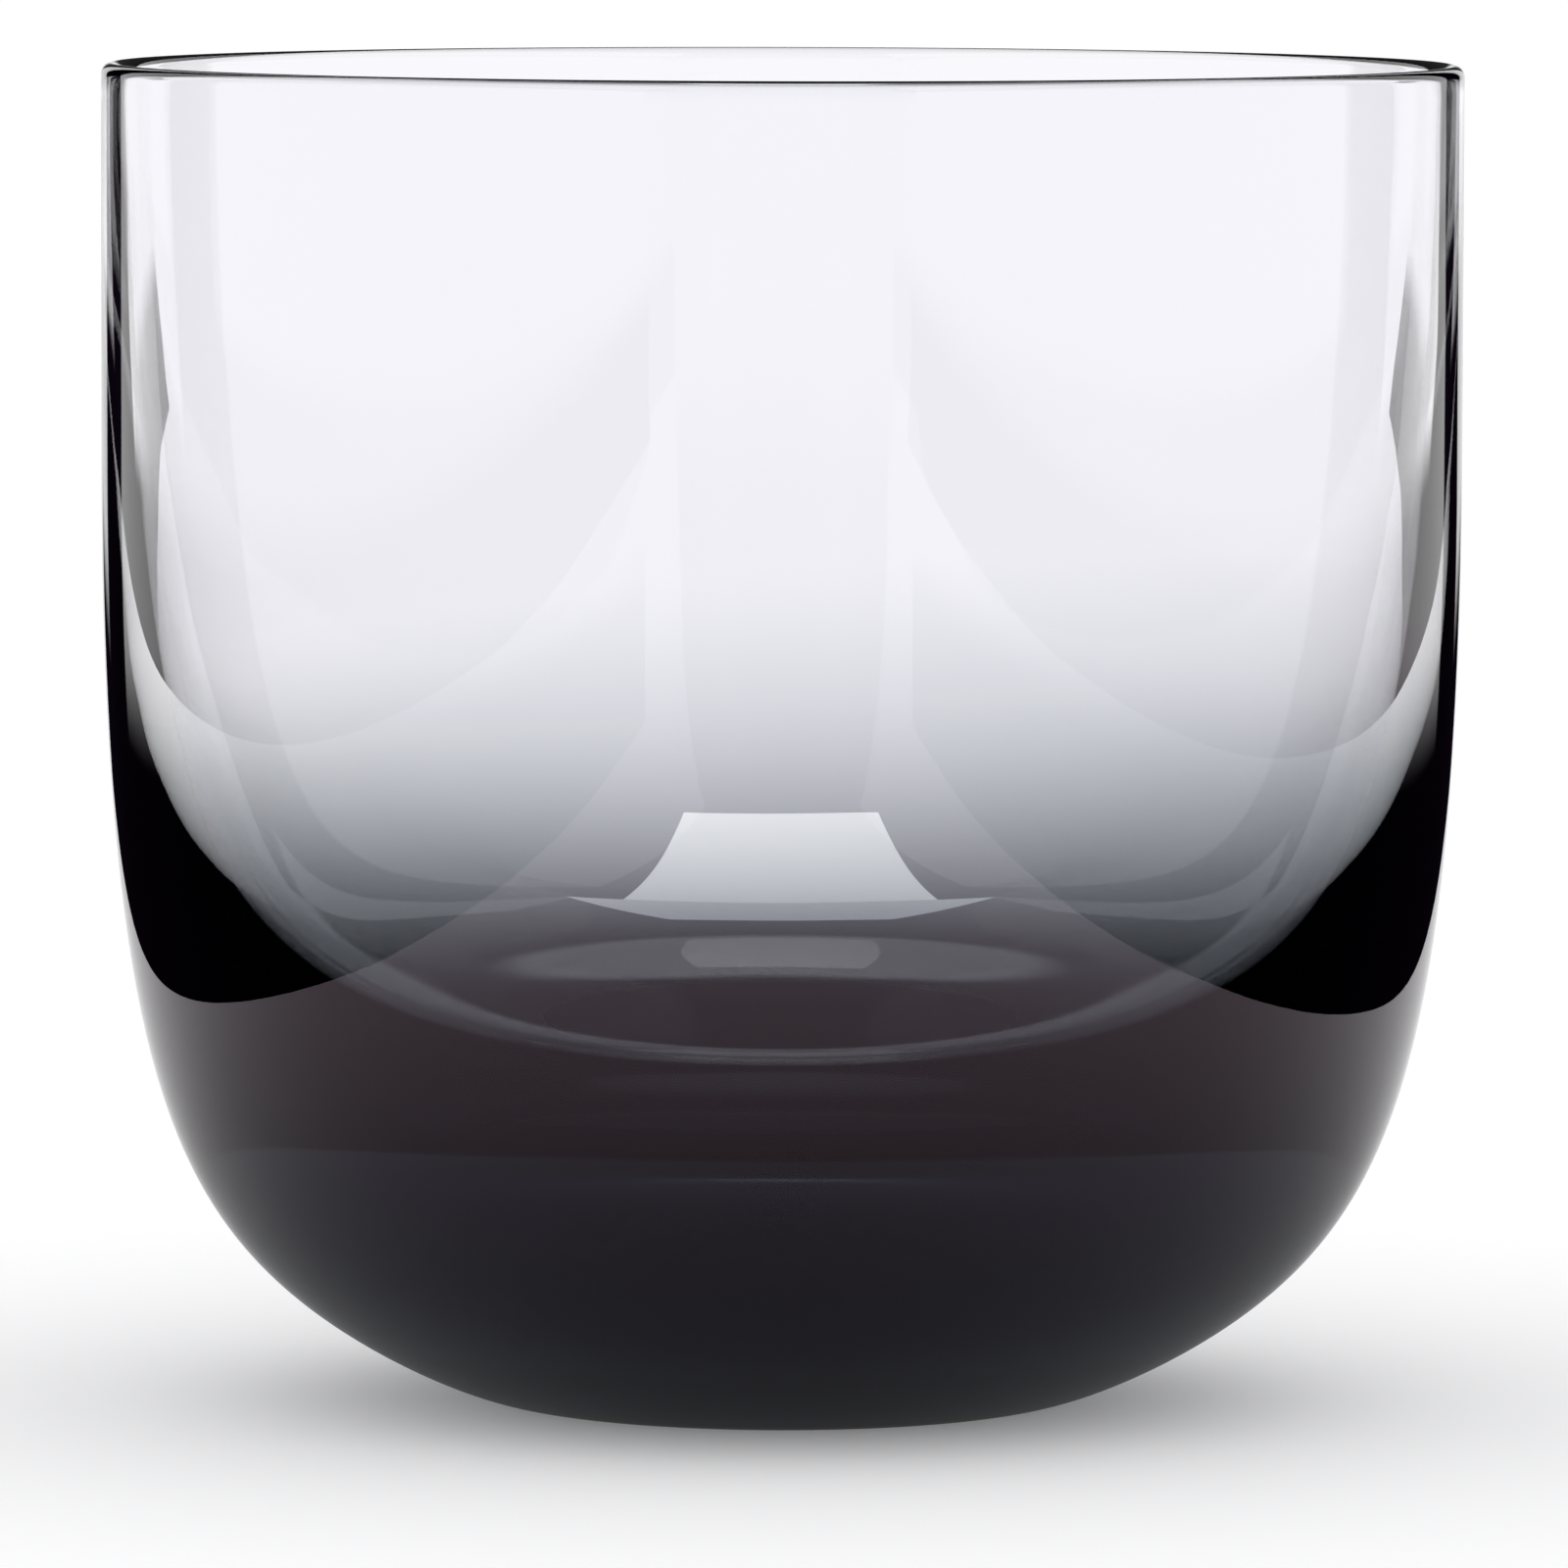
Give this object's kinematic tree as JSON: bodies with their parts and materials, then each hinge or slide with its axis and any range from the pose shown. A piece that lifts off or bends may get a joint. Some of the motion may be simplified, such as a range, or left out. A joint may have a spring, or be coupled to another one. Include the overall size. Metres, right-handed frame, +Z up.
{
  "type": "whiskey tumbler",
  "caption": "Straight-walled glass tumbler with a rounded heavy base: a thin clear bowl cased below in dark smoke glass that feathers out up the wall.",
  "frame": {"origin": "centre of the ground foot, on the plane that the glass stands on", "axes": "+Z up through the mouth along the axis of revolution; X and Y are interchangeable"},
  "size_m": [0.088, 0.088, 0.0866],
  "materials": {
    "clear_glass": "fire-polished, clear with a faint violet cast",
    "smoke_glass": "glossy, dense black-violet smoke, bluish where it thins out"
  },
  "bodies": {
    "root": {"clear_bubble": "clear_glass", "smoke_gather": "smoke_glass"}
  },
  "joints": []
}
